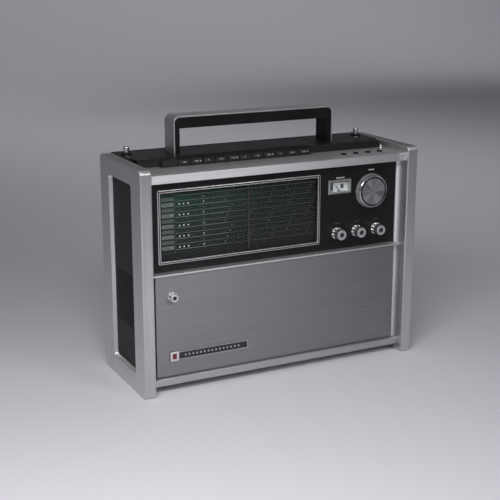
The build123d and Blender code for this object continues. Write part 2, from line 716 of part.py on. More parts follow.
# ---------------------------------------------------------------- end speakers
def make_speaker(side):
    """Round speaker behind an end grille: rim, basket, cone hollow and magnet."""
    face = half_w - end_recess - seat - grille_t - seat
    with BuildPart() as speaker:
        with BuildSketch(Plane.XZ):
            with BuildLine():
                Polyline((face - 13.0, 0.0), (face - 13.0, 9.0), (face - 1.2, 34.0),
                         (face, 34.0), (face, speaker_r), (face - 2.4, speaker_r),
                         (face - 2.4, 36.5), (face - 16.0, 20.0), (face - 30.0, 20.0),
                         (face - 30.0, 0.0), close=True)
            make_face()
        revolve(axis=Axis.X)
    turned = speaker.part
    if side < 0:
        turned = turned.rotate(Axis.Z, 180)
    with BuildPart() as placed:
        add(turned.moved(Location((0, 0, speaker_z))))
    return placed


speaker_left = make_speaker(-1)
speaker_right = make_speaker(1)

# ---------------------------------------------------------------- write the sub-parts
pieces = {
    "end_frame_left": end_frame_left, "end_frame_right": end_frame_right,
    "end_grille_left": end_grille_left, "end_grille_right": end_grille_right,
    "top_rail": top_rail, "base_tray": base_tray, "divider_ledge": divider_ledge,
    "side_trim_left": side_trim_left, "side_trim_right": side_trim_right,
    "dial_panel": dial_panel, "dial_bezel": dial_bezel, "dial_glass": dial_glass,
    "dial_scale": dial_scale, "meter_case": meter_case, "meter_glass": meter_glass,
    "meter_needle": meter_needle, "deck": deck, "inner_panel": inner_panel,
    "rear_cover": rear_cover, "case_screws": case_screws, "chassis": chassis,
    "tuning_gang": tuning_gang, "speaker_left": speaker_left, "speaker_right": speaker_right,
    "dial_cord": dial_cord, "dial_pointer": dial_pointer, "dial_drum": dial_drum,
    "tuning_knob": tuning_knob, "tuning_shaft": tuning_shaft, "control_pots": control_pots,
    "volume_knob": volume_knob, "bass_knob": bass_knob, "treble_knob": treble_knob,
    "light_button": light_button, "door": door, "door_knob": door_knob,
    "door_badge": door_badge, "handle_shell": handle_shell, "handle_grip": handle_grip,
    "antenna_tube_left": antenna_tube_left, "antenna_mid_left": antenna_mid_left,
    "antenna_rod_left": antenna_rod_left, "antenna_tube_right": antenna_tube_right,
    "antenna_mid_right": antenna_mid_right, "antenna_rod_right": antenna_rod_right,
}
for i, key in enumerate(band_keys):
    pieces["band_key_" + str(i + 1)] = key
for i, button in enumerate(function_buttons):
    pieces["function_button_" + str(i + 1)] = button
for name, piece in pieces.items():
    save(piece, name)
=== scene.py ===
"""Large portable multi-band radio: finishes, printing, small trim, floor and light.

Lengths given to the shape helpers are millimetres in the frame of the part; every object comes out
in metres. Lengths inside materials are metres.
"""
import math

import bmesh
import bpy
from mathutils import Matrix, Vector


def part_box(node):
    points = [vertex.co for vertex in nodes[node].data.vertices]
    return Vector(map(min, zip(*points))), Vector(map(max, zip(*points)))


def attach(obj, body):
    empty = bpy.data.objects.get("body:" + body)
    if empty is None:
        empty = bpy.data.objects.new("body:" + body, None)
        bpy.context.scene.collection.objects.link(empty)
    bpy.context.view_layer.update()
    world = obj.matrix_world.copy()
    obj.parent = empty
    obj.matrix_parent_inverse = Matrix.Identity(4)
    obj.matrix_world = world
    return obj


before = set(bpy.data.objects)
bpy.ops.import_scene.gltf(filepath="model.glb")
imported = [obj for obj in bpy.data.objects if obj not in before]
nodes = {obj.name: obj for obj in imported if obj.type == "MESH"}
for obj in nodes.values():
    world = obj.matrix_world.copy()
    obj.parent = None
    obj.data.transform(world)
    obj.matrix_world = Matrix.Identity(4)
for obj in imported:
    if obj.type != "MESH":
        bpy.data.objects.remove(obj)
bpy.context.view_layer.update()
scene = bpy.context.scene

MM = 0.001
FONT_TO_FIGURE = 1.38  # size of a font whose figures are one high


def low_high(node):
    """Lowest and highest corner of a node in millimetres."""
    low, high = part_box(node)
    return low / MM, high / MM


# ---------------------------------------------------------------- camera
def set_camera():
    """Camera in front and to the left, looking a little down; the angles are in degrees."""
    looks_down, looks_right = 15.02, 26.93
    data = bpy.data.cameras.new("camera")
    data.sensor_width = 36.0
    data.lens = 78.2
    data.clip_start = 0.02
    data.clip_end = 60.0
    camera = bpy.data.objects.new("camera", data)
    camera.location = (-0.6332, -1.2137, 0.5162)
    camera.rotation_euler = (math.radians(90 - looks_down), 0.0, math.radians(-looks_right))
    scene.collection.objects.link(camera)
    scene.camera = camera


set_camera()


# ---------------------------------------------------------------- shape helpers
def at(x, y, z):
    """Puts a shape at a point."""
    return Matrix.Translation((x * MM, y * MM, z * MM))


def upright_facing(x, y, z):
    """Stands a shape drawn flat in X and Y up, facing the front, and puts it at a point."""
    return at(x, y, z) @ Matrix.Rotation(math.pi / 2, 4, "X")


def points_of(geometry):
    """Points among the results of an operator."""
    return [item for item in geometry if isinstance(item, bmesh.types.BMVert)]


def edges_of(geometry):
    """Edges among the results of an operator."""
    return [item for item in geometry if isinstance(item, bmesh.types.BMEdge)]


def add_part(whole, part, place=None, slot=0):
    """Moves a finished part into the piece being made, with one of the piece's materials."""
    for face in part.faces:
        face.material_index = slot
    if place is not None:
        bmesh.ops.transform(part, matrix=place, verts=part.verts)
    mesh = bpy.data.meshes.new("part")
    part.to_mesh(mesh)
    part.free()
    whole.from_mesh(mesh)
    bpy.data.meshes.remove(mesh)


def block(whole, low, high, rounding, segments=2, slot=0):
    """Box between two corners, with its edges rounded."""
    part = bmesh.new()
    size = [(b - a) * MM for a, b in zip(low, high)]
    centre = [(a + b) * MM / 2 for a, b in zip(low, high)]
    bmesh.ops.create_cube(part, size=1.0,
                          matrix=Matrix.Translation(centre) @ Matrix.Diagonal((*size, 1.0)))
    bmesh.ops.bevel(part, geom=part.edges[:], offset=rounding * MM, offset_type="OFFSET",
                    segments=segments, profile=0.5, affect="EDGES", material=-1,
                    clamp_overlap=True)
    add_part(whole, part, slot=slot)


def patch(whole, place, width, height, slot=0):
    """Printed patch, drawn flat in X and Y and then put in place."""
    part = bmesh.new()
    bmesh.ops.create_grid(part, x_segments=1, y_segments=1, size=0.5)
    size = Matrix.Diagonal((width * MM, height * MM, 1.0, 1.0))
    add_part(whole, part, place @ size, slot)


def mark(whole, x0, x1, z0, z1, y, slot=0, back=False):
    """Printed patch on an upright surface, facing the front, or the back of the set."""
    turn = Matrix.Rotation(math.pi, 4, "Z") if back else Matrix.Identity(4)
    upright = Matrix.Rotation(math.pi / 2, 4, "X")
    patch(whole, at((x0 + x1) / 2, y, (z0 + z1) / 2) @ turn @ upright, x1 - x0, z1 - z0, slot)


def turned(whole, profile, place, steps):
    """Lathe work: (radius, height) pairs in millimetres, turned about Z and put in place."""
    part = bmesh.new()
    points = [part.verts.new((r * MM, 0.0, h * MM)) for r, h in profile]
    edges = [part.edges.new(pair) for pair in zip(points, points[1:])]
    bmesh.ops.spin(part, geom=points + edges, cent=(0, 0, 0), axis=(0, 0, 1),
                   angle=2 * math.pi, steps=steps, use_merge=True)
    bmesh.ops.remove_doubles(part, verts=part.verts, dist=1e-7)
    bmesh.ops.recalc_face_normals(part, faces=part.faces)
    for face in part.faces:
        face.smooth = True
    add_part(whole, part, place)


def border(whole, x0, x1, z0, z1, width, y_front, y_back, corner, slot=0):
    """Rectangular ring in an upright plane, with rounded outer corners."""
    part = bmesh.new()
    bmesh.ops.create_grid(part, x_segments=1, y_segments=1, size=0.5)
    size = Matrix.Diagonal(((x1 - x0) * MM, (z1 - z0) * MM, 1.0, 1.0))
    bmesh.ops.transform(part, matrix=size, verts=part.verts)
    bmesh.ops.bevel(part, geom=part.verts[:], offset=corner * MM, offset_type="OFFSET", segments=3,
                    profile=0.5, affect="VERTICES", material=-1, clamp_overlap=True)
    middle = part.faces[:]
    bmesh.ops.inset_region(part, faces=middle, thickness=width * MM, use_even_offset=True,
                           use_boundary=True)
    bmesh.ops.delete(part, geom=middle, context="FACES")
    raised = bmesh.ops.extrude_face_region(part, geom=part.faces[:])["geom"]
    bmesh.ops.translate(part, vec=(0, 0, (y_back - y_front) * MM), verts=points_of(raised))
    bmesh.ops.recalc_face_normals(part, faces=part.faces)
    add_part(whole, part, upright_facing((x0 + x1) / 2, y_back, (z0 + z1) / 2), slot)


def figures(whole, number, place, height, slot=0):
    """Plain number as flat print, drawn in X and Y and then put in place."""
    curve = bpy.data.curves.new("figures", "FONT")
    curve.body = str(number)
    curve.size = height * MM * FONT_TO_FIGURE
    curve.align_x = "CENTER"
    curve.align_y = "CENTER"
    curve.resolution_u = 2
    holder = bpy.data.objects.new("figures", curve)
    mesh = bpy.data.meshes.new_from_object(holder)
    part = bmesh.new()
    part.from_mesh(mesh)
    bpy.data.objects.remove(holder)
    bpy.data.curves.remove(curve)
    bpy.data.meshes.remove(mesh)
    add_part(whole, part, place, slot)


def finish_piece(name, whole, materials, body):
    """Makes the object of a piece, riding on its body."""
    mesh = bpy.data.meshes.new(name)
    whole.to_mesh(mesh)
    whole.free()
    for material in materials:
        mesh.materials.append(material)
    piece = bpy.data.objects.new(name, mesh)
    scene.collection.objects.link(piece)
    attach(piece, body)


# ---------------------------------------------------------------- node helpers
def feed(tree, node, inputs):
    """Gives a node its inputs: constants, or the sockets that they come from."""
    for key, value in inputs.items():
        if isinstance(value, bpy.types.NodeSocket):
            tree.links.new(value, node.inputs[key])
        else:
            node.inputs[key].default_value = value


def put(tree, kind, inputs=None, **settings):
    """Adds a node."""
    node = tree.nodes.new("ShaderNode" + kind)
    for key, value in settings.items():
        setattr(node, key, value)
    feed(tree, node, inputs or {})
    return node


def use(tree, group, inputs):
    """Adds a shared effect and gives back what it puts out."""
    return put(tree, "Group", inputs, node_tree=group).outputs


def calc(tree, operation, a, b=0.0, clamp=False):
    return put(tree, "Math", {0: a, 1: b}, operation=operation, use_clamp=clamp).outputs[0]


def weighted(tree, *shares, clamp=False):
    """Adds up (value, weight) pairs."""
    parts = [calc(tree, "MULTIPLY", value, weight) for value, weight in shares]
    total = parts[0]
    for number, part in enumerate(parts[1:], 2):
        total = calc(tree, "ADD", total, part, clamp=clamp and number == len(parts))
    return total


def blend_of(tree, factor, first, second):
    """Colour between two colours, which are sockets or red, green and blue."""
    first, second = ((*c, 1.0) if isinstance(c, tuple) else c for c in (first, second))
    return put(tree, "Mix", {0: factor, 6: first, 7: second}, data_type="RGBA").outputs[2]


def spread(tree, value, low, high, to_low=0.0, to_high=1.0):
    """Carries the values from low to high over to another range, and stops at its ends."""
    return put(tree, "MapRange", {"Value": value, "From Min": low, "From Max": high,
                                  "To Min": to_low, "To Max": to_high}, clamp=True).outputs[0]


def above(tree, value, edge, soft=0.0001):
    """1 past an edge and 0 before it."""
    return spread(tree, value, edge - soft, edge + soft)


def below(tree, value, edge, soft=0.0001):
    """1 before an edge and 0 past it."""
    return spread(tree, value, edge + soft, edge - soft)


def noise(tree, where, scale, detail, roughness=0.5, distortion=0.0):
    return put(tree, "TexNoise", {"Vector": where, "Scale": scale, "Detail": detail,
                                  "Roughness": roughness, "Distortion": distortion}).outputs[0]


def noise_along(tree, value, detail, roughness=0.5):
    return put(tree, "TexNoise", {"W": value, "Scale": 1.0, "Detail": detail,
                                  "Roughness": roughness}, noise_dimensions="1D").outputs[0]


def start_material(name, **plain):
    """New material; plain values go straight onto the shader."""
    material = bpy.data.materials.new(name)
    material.use_nodes = True
    tree = material.node_tree
    shader = tree.nodes["Principled BSDF"]
    for key, value in plain.items():
        shader.inputs[key.replace("_", " ").title().replace("Ior", "IOR")].default_value = value
    where = put(tree, "TexCoord").outputs["Object"]
    return material, tree, shader, where


def join(tree, shader, colour, rough, height, strength, depth, normal=None):
    """Joins colour, roughness and relief to the shader."""
    relief = {"Strength": strength, "Distance": depth, "Height": height}
    if normal is not None:
        relief["Normal"] = normal
    feed(tree, shader, {"Base Color": colour, "Roughness": rough,
                        "Normal": put(tree, "Bump", relief).outputs[0]})


def draw_gloss_across(tree, shader, direction):
    """Draws the gloss out across a direction fixed to the piece."""
    fixed = put(tree, "VectorTransform", {"Vector": direction}, vector_type="VECTOR",
                convert_from="OBJECT", convert_to="WORLD")
    tree.links.new(fixed.outputs[0], shader.inputs["Tangent"])


# ---------------------------------------------------------------- shared effects
def make_group(name, inputs, outputs):
    group = bpy.data.node_groups.new(name, "ShaderNodeTree")
    for title, kind, value in inputs:
        socket = group.interface.new_socket(name=title, in_out="INPUT",
                                            socket_type="NodeSocket" + kind)
        if value is not None:
            socket.default_value = value
    for title, kind in outputs:
        group.interface.new_socket(name=title, in_out="OUTPUT", socket_type="NodeSocket" + kind)
    start = group.nodes.new("NodeGroupInput")
    end = group.nodes.new("NodeGroupOutput")
    return group, start.outputs, end


def make_brush_lines():
    """Lines of a wire brush, drawn out along one direction by Stretch."""
    group, given, end = make_group(
        "brush_lines",
        [("Vector", "Vector", None), ("Stretch", "Vector", (20.0, 900.0, 900.0))],
        [("Lines", "Float"), ("Streaks", "Float")])
    drawn = put(group, "VectorMath", {0: given["Vector"], 1: given["Stretch"]},
                operation="MULTIPLY").outputs[0]
    fine = noise(group, drawn, 1.0, 4.0, 0.65)
    wide = noise(group, drawn, 0.17, 2.0)
    feed(group, end, {"Lines": spread(group, fine, 0.3, 0.7),
                      "Streaks": spread(group, wide, 0.32, 0.68)})
    return group


def make_edge_rub():
    """Rubbed edges, and a normal that rounds them."""
    group, given, end = make_group(
        "edge_rub",
        [("Vector", "Vector", None), ("Radius", "Float", 0.0005)],
        [("Edge", "Float"), ("Normal", "Vector")])
    rounded = put(group, "Bevel", {"Radius": given["Radius"]}, samples=4).outputs[0]
    flat = put(group, "NewGeometry").outputs["Normal"]
    agree = put(group, "VectorMath", {0: rounded, 1: flat}, operation="DOT_PRODUCT")
    rub = spread(group, agree.outputs["Value"], 0.99, 0.86)
    uneven = spread(group, noise(group, given["Vector"], 90.0, 3.0, 0.6), 0.35, 0.62)
    feed(group, end, {"Edge": calc(group, "MULTIPLY", rub, uneven), "Normal": rounded})
    return group


def make_handling():
    """Soft marks of handling and a little dust, for colour and roughness."""
    group, given, end = make_group(
        "handling",
        [("Vector", "Vector", None), ("Scale", "Float", 14.0)],
        [("Cloud", "Float"), ("Specks", "Float")])
    cloud = noise(group, given["Vector"], given["Scale"], 4.0, 0.55, 0.4)
    specks = put(group, "TexVoronoi", {"Vector": given["Vector"], "Scale": 420.0})
    dots = spread(group, specks.outputs["Distance"], 0.16, 0.05)
    thin = spread(group, cloud, 0.5, 0.7)
    feed(group, end, {"Cloud": spread(group, cloud, 0.3, 0.7),
                      "Specks": calc(group, "MULTIPLY", dots, thin)})
    return group


def make_moulded_grain():
    """Fine pebble of textured plastic, paint or grained covering."""
    group, given, end = make_group(
        "moulded_grain",
        [("Vector", "Vector", None), ("Scale", "Float", 1400.0)],
        [("Height", "Float")])
    cells = put(group, "TexVoronoi", {"Vector": given["Vector"], "Scale": given["Scale"]},
                feature="SMOOTH_F1")
    loose = noise(group, given["Vector"], given["Scale"], 3.0)
    feed(group, end, {"Height": calc(group, "ADD", cells.outputs["Distance"], loose)})
    return group


brush_lines = make_brush_lines()
edge_rub = make_edge_rub()
handling = make_handling()
moulded_grain = make_moulded_grain()


# ---------------------------------------------------------------- kinds of finish
def brushed_metal(name, dark, light, rough, stretch, across, aniso=0.6, edge=0.4, radius=0.0006):
    """Wire-brushed metal with rubbed edges; its gloss is drawn out across the lines."""
    material, tree, shader, where = start_material(name, metallic=1.0, anisotropic=aniso)
    lines = use(tree, brush_lines, {"Vector": where, "Stretch": stretch})
    rub = use(tree, edge_rub, {"Vector": where, "Radius": radius})
    marks = use(tree, handling, {"Vector": where, "Scale": 9.0})
    tone = weighted(tree, (lines["Lines"], 0.5), (lines["Streaks"], 0.25), (marks["Cloud"], 0.25),
                    clamp=True)
    worn = calc(tree, "MULTIPLY", rub["Edge"], edge)
    colour = blend_of(tree, worn, blend_of(tree, tone, dark, light), (0.9, 0.9, 0.9))
    join(tree, shader, colour, spread(tree, tone, 0.0, 1.0, rough + 0.06, rough - 0.05),
         lines["Lines"], 0.5, 0.00002, rub["Normal"])
    draw_gloss_across(tree, shader, across)
    return material


def bright_metal(name, colour, rough, haze=0.06, scale=30.0, metal=1.0):
    """Polished or plated metal with a faint haze."""
    material, tree, shader, where = start_material(name, metallic=metal)
    marks = use(tree, handling, {"Vector": where, "Scale": scale})
    rub = use(tree, edge_rub, {"Vector": where, "Radius": 0.0004})
    dull = tuple(part * 0.86 for part in colour)
    hazy = spread(tree, marks["Cloud"], 0.0, 1.0, rough + haze, rough)
    dusty = calc(tree, "ADD", hazy, calc(tree, "MULTIPLY", marks["Specks"], 0.12))
    join(tree, shader, blend_of(tree, marks["Cloud"], dull, colour), dusty,
         noise(tree, where, 220.0, 2.0), 0.25, 0.00003, rub["Normal"])
    return material


def textured_plastic(name, dark, light, rough, grain=1400.0, depth=0.00004, strength=0.5, edge=0.35,
                     worn=(0.16, 0.16, 0.165), coat=0.0, specular=0.5):
    """Moulded plastic, paint or grained covering with rubbed edges and a trace of dust."""
    material, tree, shader, where = start_material(name, coat_weight=coat, coat_roughness=0.25,
                                                   specular_ior_level=specular)
    marks = use(tree, handling, {"Vector": where, "Scale": 11.0})
    rub = use(tree, edge_rub, {"Vector": where, "Radius": 0.0005})
    pebble = use(tree, moulded_grain, {"Vector": where, "Scale": grain})
    dust = calc(tree, "MULTIPLY", marks["Specks"], 0.25)
    dusty = blend_of(tree, dust, blend_of(tree, marks["Cloud"], dark, light), (0.3, 0.3, 0.3))
    rubbed = blend_of(tree, calc(tree, "MULTIPLY", rub["Edge"], edge), dusty, worn)
    join(tree, shader, rubbed, spread(tree, marks["Cloud"], 0.0, 1.0, rough - 0.05, rough + 0.07),
         pebble["Height"], strength, depth, rub["Normal"])
    return material


def screened_ink(name, faint, strong, rough=0.5):
    """Screened ink: slightly uneven cover."""
    material, tree, shader, where = start_material(name)
    cover = noise(tree, where, 900.0, 3.0, 0.7)
    wide = noise(tree, where, 25.0, 2.0)
    amount = spread(tree, weighted(tree, (cover, 0.6), (wide, 0.4)), 0.35, 0.6)
    join(tree, shader, blend_of(tree, amount, faint, strong),
         spread(tree, cover, 0.3, 0.7, rough - 0.08, rough + 0.08), cover, 0.3, 0.00001)
    return material


# ---------------------------------------------------------------- finishes of the metalwork
def make_frame_aluminium():
    """Satin aluminium of the end frames: uprights brushed up and down, bars along the depth,
    and painted shade that makes the top face darker."""
    top_bar, bottom_bar, upright, top_face = 0.2600, 0.0240, 0.0383, 0.2812
    material, tree, shader, where = start_material("frame_aluminium", metallic=1.0,
                                                   anisotropic=0.7)
    parts = put(tree, "SeparateXYZ", {"Vector": where}).outputs
    up = use(tree, brush_lines, {"Vector": where, "Stretch": (800.0, 800.0, 18.0)})
    along = use(tree, brush_lines, {"Vector": where, "Stretch": (800.0, 18.0, 800.0)})
    in_bars = calc(tree, "MAXIMUM", above(tree, parts["Z"], top_bar),
                   below(tree, parts["Z"], bottom_bar))
    between = below(tree, calc(tree, "ABSOLUTE", parts["Y"]), upright, 0.0003)
    bars = calc(tree, "MULTIPLY", in_bars, between)
    lines = put(tree, "Mix", {0: bars, 2: up["Lines"], 3: along["Lines"]}).outputs[0]
    streaks = put(tree, "Mix", {0: bars, 2: up["Streaks"], 3: along["Streaks"]}).outputs[0]
    rub = use(tree, edge_rub, {"Vector": where, "Radius": 0.0008})
    marks = use(tree, handling, {"Vector": where, "Scale": 10.0})
    tone = weighted(tree, (lines, 0.4), (streaks, 0.3), (marks["Cloud"], 0.3), clamp=True)
    colour = blend_of(tree, tone, (0.56, 0.56, 0.57), (0.74, 0.74, 0.75))
    # painted shade: the top face is made darker than the rest of the frame
    colour = blend_of(tree, above(tree, parts["Z"], top_face, 0.0002), colour,
                      (0.30, 0.30, 0.305))
    colour = blend_of(tree, calc(tree, "MULTIPLY", rub["Edge"], 0.35), colour, (0.92, 0.92, 0.92))
    join(tree, shader, colour, spread(tree, tone, 0.0, 1.0, 0.46, 0.36), lines, 0.5, 0.00002,
         rub["Normal"])
    draw_gloss_across(tree, shader, (0.3, 1, 0))
    return material


def make_spun_face():
    """Knob aluminium: fine rings turned on the face with painted light and dark sectors, a black
    ring near its rim, ribbed skirt with painted shade in its grooves.
    """
    ring_inside, ring_outside, rim, face_depth = 0.01725, 0.01915, 0.01975, 0.0010
    material, tree, shader, where = start_material("spun_aluminium", anisotropic=0.8)
    low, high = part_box("tuning_knob")
    middle = (low + high) / 2
    centred = put(tree, "Mapping", {"Vector": where, "Location": (-middle.x, -low.y, -middle.z)})
    parts = put(tree, "SeparateXYZ", {"Vector": centred.outputs[0]}).outputs
    flat = put(tree, "CombineXYZ", {"X": parts["X"], "Z": parts["Z"]}).outputs[0]
    radius = put(tree, "VectorMath", {0: flat}, operation="LENGTH").outputs["Value"]
    angle = calc(tree, "ARCTAN2", parts["Z"], parts["X"])
    rings = noise_along(tree, calc(tree, "MULTIPLY", radius, 2600.0), 3.0, 0.7)
    # painted highlight and shade: light and dark sectors round the face, which turn with the knob
    sweep = noise_along(tree, calc(tree, "MULTIPLY", angle, 1.4), 1.0)
    ribs = calc(tree, "SINE", calc(tree, "MULTIPLY", angle, 84.0))
    skirt = calc(tree, "MULTIPLY", above(tree, parts["Y"], face_depth),
                 above(tree, radius, rim, 0.00015))
    # the face's tone is half the turned rings and half the painted sectors
    tone = spread(tree, weighted(tree, (rings, 0.5), (sweep, 0.5)), 0.40, 0.62)
    colour = blend_of(tree, tone, (0.30, 0.295, 0.31), (0.70, 0.69, 0.72))
    black_ring = calc(tree, "MULTIPLY", above(tree, radius, ring_inside, 0.00005),
                      below(tree, radius, ring_outside, 0.00005))
    colour = blend_of(tree, black_ring, colour, (0.008, 0.008, 0.008))
    # painted shade: the skirt is darkened in the grooves between its ribs
    shade = calc(tree, "SUBTRACT", 1.0, spread(tree, ribs, -1.0, 1.0, 0.3, 1.0))
    colour = blend_of(tree, calc(tree, "MULTIPLY", skirt, shade), colour, (0.16, 0.16, 0.16))
    height = put(tree, "Mix", {0: skirt, 2: rings, 3: calc(tree, "MULTIPLY", ribs, 9.0)})
    join(tree, shader, colour, spread(tree, rings, 0.3, 0.7, 0.32, 0.22), height.outputs[0],
         0.6, 0.00003)
    metal = calc(tree, "SUBTRACT", 1.0, calc(tree, "MULTIPLY", skirt, 0.55))
    tree.links.new(metal, shader.inputs["Metallic"])
    draw_gloss_across(tree, shader, flat)
    return material


lengthways = {"stretch": (14.0, 900.0, 900.0), "across": (0, 0, 1), "aniso": 0.8}
frame_aluminium = make_frame_aluminium()
rail_aluminium = brushed_metal("rail_aluminium", (0.62, 0.62, 0.63), (0.84, 0.84, 0.85), 0.42,
                               **lengthways)
tray_aluminium = brushed_metal("tray_aluminium", (0.44, 0.44, 0.45), (0.62, 0.62, 0.63), 0.42,
                               **lengthways)
# painted shade: the door's aluminium is kept darker than the rail's and the frame's
door_aluminium = brushed_metal("door_aluminium", (0.27, 0.268, 0.28), (0.36, 0.357, 0.372), 0.42,
                               (4.0, 1100.0, 1100.0), (0, 0, 1), aniso=0.8, edge=0.5,
                               radius=0.0005)
handle_aluminium = brushed_metal("handle_aluminium", (0.52, 0.52, 0.53), (0.72, 0.72, 0.73), 0.36,
                                 (14.0, 800.0, 800.0), (0, 1, 0), radius=0.0005)
spun_aluminium = make_spun_face()
polished_trim = bright_metal("polished_trim", (0.96, 0.96, 0.97), 0.30)
chrome = bright_metal("chrome", (0.86, 0.86, 0.88), 0.12)
bezel_chrome = bright_metal("bezel_chrome", (0.90, 0.91, 0.91), 0.16, metal=0.85)
# painted highlight: the side trims are mostly pale and diffuse rather than mirror metal, so they
# look bright from every side
side_trim = bright_metal("side_trim", (0.95, 0.95, 0.96), 0.28, metal=0.3)
meter_trim = bright_metal("meter_trim", (0.60, 0.62, 0.61), 0.26)
ring_metal = bright_metal("ring_metal", (0.34, 0.34, 0.35), 0.26, haze=0.1)
fluted_metal = bright_metal("fluted_metal", (0.86, 0.86, 0.87), 0.26, haze=0.12)
plated_steel = bright_metal("plated_steel", (0.62, 0.61, 0.56), 0.32, haze=0.12, scale=24.0)
pot_casing = bright_metal("pot_casing", (0.55, 0.55, 0.55), 0.36, haze=0.14, scale=60.0)

# ---------------------------------------------------------------- finishes of the black work
panel_black = textured_plastic("panel_black", (0.005, 0.005, 0.0055), (0.009, 0.009, 0.010), 0.34,
                               grain=2600.0, depth=0.00001, strength=0.3, edge=0.3, specular=0.25)
deck_black = textured_plastic("deck_black", (0.007, 0.007, 0.0075), (0.013, 0.013, 0.014), 0.46,
                              grain=1500.0, strength=0.6, edge=0.45, specular=0.2)
key_black = textured_plastic("key_black", (0.005, 0.005, 0.0055), (0.009, 0.009, 0.010), 0.46,
                             grain=2400.0, depth=0.00001, strength=0.3, edge=0.4, specular=0.18)
grip_black = textured_plastic("grip_black", (0.005, 0.005, 0.005), (0.009, 0.009, 0.0095), 0.42,
                              grain=620.0, depth=0.0001, strength=0.6, edge=0.4, specular=0.15)
grille_paint = textured_plastic("grille_paint", (0.012, 0.012, 0.0135), (0.019, 0.019, 0.022), 0.55,
                                grain=900.0, depth=0.00006, strength=0.6, edge=0.4, specular=0.35)
rear_plastic = textured_plastic("rear_plastic", (0.032, 0.032, 0.033), (0.046, 0.046, 0.047), 0.52,
                                grain=1100.0, depth=0.00007, strength=0.7, edge=0.4)
# black enamel of the caps, badge and knob groove; also the painted shade in the window frame's
# groove
black_enamel_and_painted_shade = textured_plastic("black_enamel_and_painted_shade", (0.006, 0.006, 0.007), (0.010, 0.010, 0.011), 0.22,
                                grain=2800.0, depth=0.000005, strength=0.2, edge=0.4, coat=0.5)
enamel_red = textured_plastic("enamel_red", (0.11, 0.008, 0.018), (0.18, 0.014, 0.028), 0.25,
                              grain=2800.0, depth=0.000005, strength=0.2, worn=(0.4, 0.1, 0.12),
                              coat=0.5)
pointer_lacquer = textured_plastic("pointer_lacquer", (0.022, 0.012, 0.010), (0.034, 0.017, 0.013),
                                   0.35, grain=2000.0, depth=0.00001, worn=(0.2, 0.1, 0.06))
drum_plastic = textured_plastic("drum_plastic", (0.58, 0.55, 0.46), (0.72, 0.69, 0.60), 0.4,
                                grain=900.0, depth=0.00002, strength=0.3, worn=(0.8, 0.78, 0.7))
speaker_paper = textured_plastic("speaker_paper", (0.02, 0.019, 0.018), (0.05, 0.047, 0.044), 0.8,
                                 grain=500.0, depth=0.0002, strength=0.8)

# ---------------------------------------------------------------- inks, plate, windows and cord
ink_pale = screened_ink("ink_pale", (0.52, 0.53, 0.53), (0.72, 0.73, 0.72))
ink_grey = screened_ink("ink_grey", (0.11, 0.115, 0.115), (0.165, 0.17, 0.17))
ink_dim = screened_ink("ink_dim", (0.045, 0.05, 0.05), (0.075, 0.08, 0.08))
ink_dark = screened_ink("ink_dark", (0.02, 0.022, 0.03), (0.04, 0.042, 0.05), 0.4)
ink_mark = screened_ink("ink_mark", (0.30, 0.30, 0.30), (0.42, 0.42, 0.42))
ink_card = screened_ink("ink_card", (0.33, 0.36, 0.36), (0.46, 0.49, 0.49), 0.4)


def make_scale_plate():
    """Dark plate behind the window, with a painted green reflection towards its upper left."""
    material, tree, shader, where = start_material("scale_plate", specular_ior_level=0.12)
    low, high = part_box("dial_scale")
    parts = put(tree, "SeparateXYZ", {"Vector": where}).outputs
    left = spread(tree, parts["X"], high.x, low.x)
    up = spread(tree, parts["Z"], low.z, high.z)
    # painted reflection: green that grows towards the plate's upper left
    green = calc(tree, "POWER", calc(tree, "MULTIPLY", left, up), 1.5)
    marks = use(tree, handling, {"Vector": where, "Scale": 18.0})
    plain = blend_of(tree, marks["Cloud"], (0.007, 0.007, 0.0075), (0.011, 0.011, 0.012))
    pebble = use(tree, moulded_grain, {"Vector": where, "Scale": 1800.0})
    join(tree, shader, blend_of(tree, green, plain, (0.010, 0.042, 0.030)),
         spread(tree, marks["Cloud"], 0.0, 1.0, 0.4, 0.5), pebble["Height"], 0.3, 0.00001)
    return material


def make_window(name, deep, pale):
    """Clear moulding, faintly tinted, that lets most of the lamps' light through."""
    held_back = 0.15
    material, tree, shader, where = start_material(name, transmission_weight=1.0, ior=1.2)
    marks = use(tree, handling, {"Vector": where, "Scale": 20.0})
    shade = put(tree, "LightPath").outputs["Is Shadow Ray"]
    solid = calc(tree, "SUBTRACT", 1.0, calc(tree, "MULTIPLY", shade, 1.0 - held_back))
    feed(tree, shader, {"Base Color": blend_of(tree, marks["Cloud"], deep, pale),
                        "Roughness": spread(tree, marks["Cloud"], 0.0, 1.0, 0.0, 0.03),
                        "Alpha": solid})
    return material


def make_braid():
    """Braided dial cord."""
    material, tree, shader, where = start_material("braided_cord", sheen_weight=0.3)
    weave = put(tree, "TexWave", {"Vector": where, "Scale": 900.0, "Distortion": 1.5},
                bands_direction="DIAGONAL").outputs[1]
    join(tree, shader, blend_of(tree, weave, (0.36, 0.29, 0.17), (0.6, 0.5, 0.32)),
         spread(tree, weave, 0.0, 1.0, 0.85, 0.7), weave, 0.6, 0.0001)
    return material


scale_plate = make_scale_plate()
clear_window = make_window("clear_window", (0.90, 0.94, 0.92), (0.94, 0.97, 0.955))
meter_window = make_window("meter_window", (0.96, 0.97, 0.97), (0.99, 0.99, 0.99))
braided_cord = make_braid()

